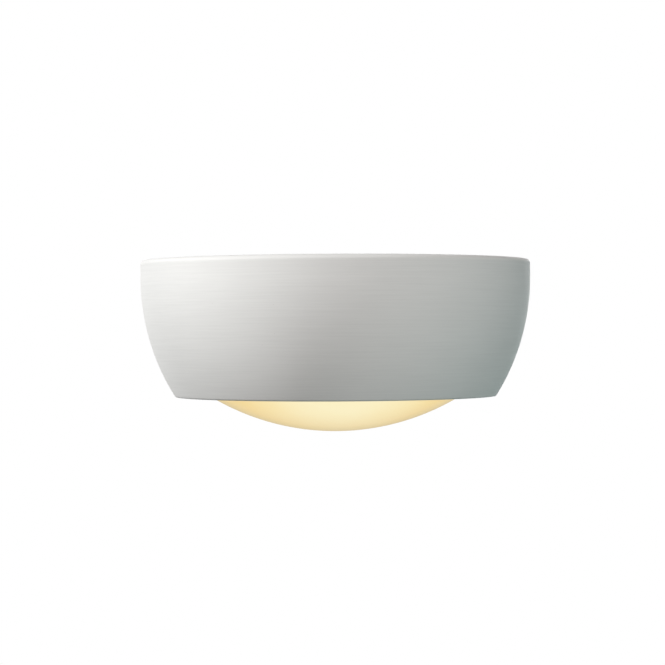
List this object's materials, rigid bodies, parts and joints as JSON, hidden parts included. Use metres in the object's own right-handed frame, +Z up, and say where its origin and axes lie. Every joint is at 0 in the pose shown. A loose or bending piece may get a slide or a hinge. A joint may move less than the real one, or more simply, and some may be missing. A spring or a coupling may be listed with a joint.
{
  "type": "uplighter wall sconce",
  "caption": "Half-bowl ceramic wall light, open at the top, with a curved glass diffuser below and one screw-cap lamp on a steel wall bracket.",
  "frame": {"origin": "on the bracket's wall face, on the shade's centre line at the height of the lamp", "axes": "+Z up, +X to the right of someone facing the wall, +Y into the wall; the light is on the -Y side"},
  "size_m": [0.2998, 0.1254, 0.1321],
  "materials": {
    "bisque": "unglazed, smooth matte with faint turning lines",
    "opal_glass": "satin opal, lit from inside",
    "zinc_steel": "zinc plated",
    "nickel_steel": "nickel plated",
    "black_plastic": "moulded",
    "knurled_brass": "nickel-plated brass, knurled",
    "fibre": "vulcanised fibre",
    "porcelain": "glazed",
    "bronze": "bright brass",
    "pearl_glass": "pearl, lit",
    "dark_glass": "vitrified",
    "solder": "soft solder",
    "stem_glass": "clear",
    "white_plastic": "moulded",
    "brown_sleeve": "silicone rubber",
    "blue_sleeve": "silicone rubber",
    "earth_sleeve": "silicone rubber, green and yellow"
  },
  "bodies": {
    "root": {"wall_bracket": "zinc_steel", "threaded_bush_left": "nickel_steel", "threaded_bush_right": "nickel_steel", "cable_bush": "black_plastic", "lampholder_bracket": "zinc_steel", "bracket_screws": "nickel_steel", "lampholder_body": "porcelain", "screw_shell": "nickel_steel", "centre_contact": "bronze", "holder_screws": "nickel_steel", "holder_nuts": "nickel_steel", "holder_terminal_screws": "bronze", "terminal_block": "white_plastic", "terminal_inserts": "bronze", "terminal_screws": "nickel_steel", "block_screw": "nickel_steel", "earth_tag": "bronze", "earth_screw": "bronze", "wire_live": "brown_sleeve", "wire_neutral": "blue_sleeve", "wire_earth": "earth_sleeve", "wire_clip": "white_plastic"},
    "shade": {"ceramic_shade": "bisque"},
    "diffuser": {"glass_diffuser": "opal_glass"},
    "washer_left": {"screw_washer_left": "fibre"},
    "screw_left": {"fixing_screw_left": "knurled_brass"},
    "washer_right": {"screw_washer_right": "fibre"},
    "screw_right": {"fixing_screw_right": "knurled_brass"},
    "lamp_foot": {"lamp_contact": "solder"},
    "lamp": {"lamp_glass": "pearl_glass", "lamp_cap": "nickel_steel", "lamp_insulator": "dark_glass", "lamp_mount": "stem_glass"}
  },
  "joints": [
    {"name": "shade_slide", "type": "slide", "parent": "root", "child": "shade", "axis": [0, -1, 0], "range_m": [0, 0.15]},
    {"name": "diffuser_lift", "type": "slide", "parent": "shade", "child": "diffuser", "axis": [0, 0, 1], "range_m": [0, 0.014]},
    {"name": "screw_left_travel", "type": "slide", "parent": "shade", "child": "washer_left", "axis": [0, -1, 0], "range_m": [0, 0.006]},
    {"name": "screw_left_turn", "type": "hinge", "parent": "washer_left", "child": "screw_left", "pos_m": [-0.112, -0.02, 0.018], "axis": [0, -1, 0], "range_deg": [0, 3080]},
    {"name": "screw_right_travel", "type": "slide", "parent": "shade", "child": "washer_right", "axis": [0, -1, 0], "range_m": [0, 0.006]},
    {"name": "screw_right_turn", "type": "hinge", "parent": "washer_right", "child": "screw_right", "pos_m": [0.112, -0.02, 0.018], "axis": [0, -1, 0], "range_deg": [0, 3080]},
    {"name": "lamp_travel", "type": "slide", "parent": "root", "child": "lamp_foot", "axis": [-1, 0, 0], "range_m": [0, 0.025]},
    {"name": "lamp_turn", "type": "hinge", "parent": "lamp_foot", "child": "lamp", "pos_m": [0.05, -0.055, 0], "axis": [-1, 0, 0], "range_deg": [0, 2475]}
  ],
  "couplings": [
    {"joint": "screw_left_travel", "follows": "screw_left_turn", "m_per_rad": 0.00011141},
    {"joint": "screw_right_travel", "follows": "screw_right_turn", "m_per_rad": 0.00011141},
    {"joint": "lamp_travel", "follows": "lamp_turn", "m_per_rad": 0.00057757}
  ]
}
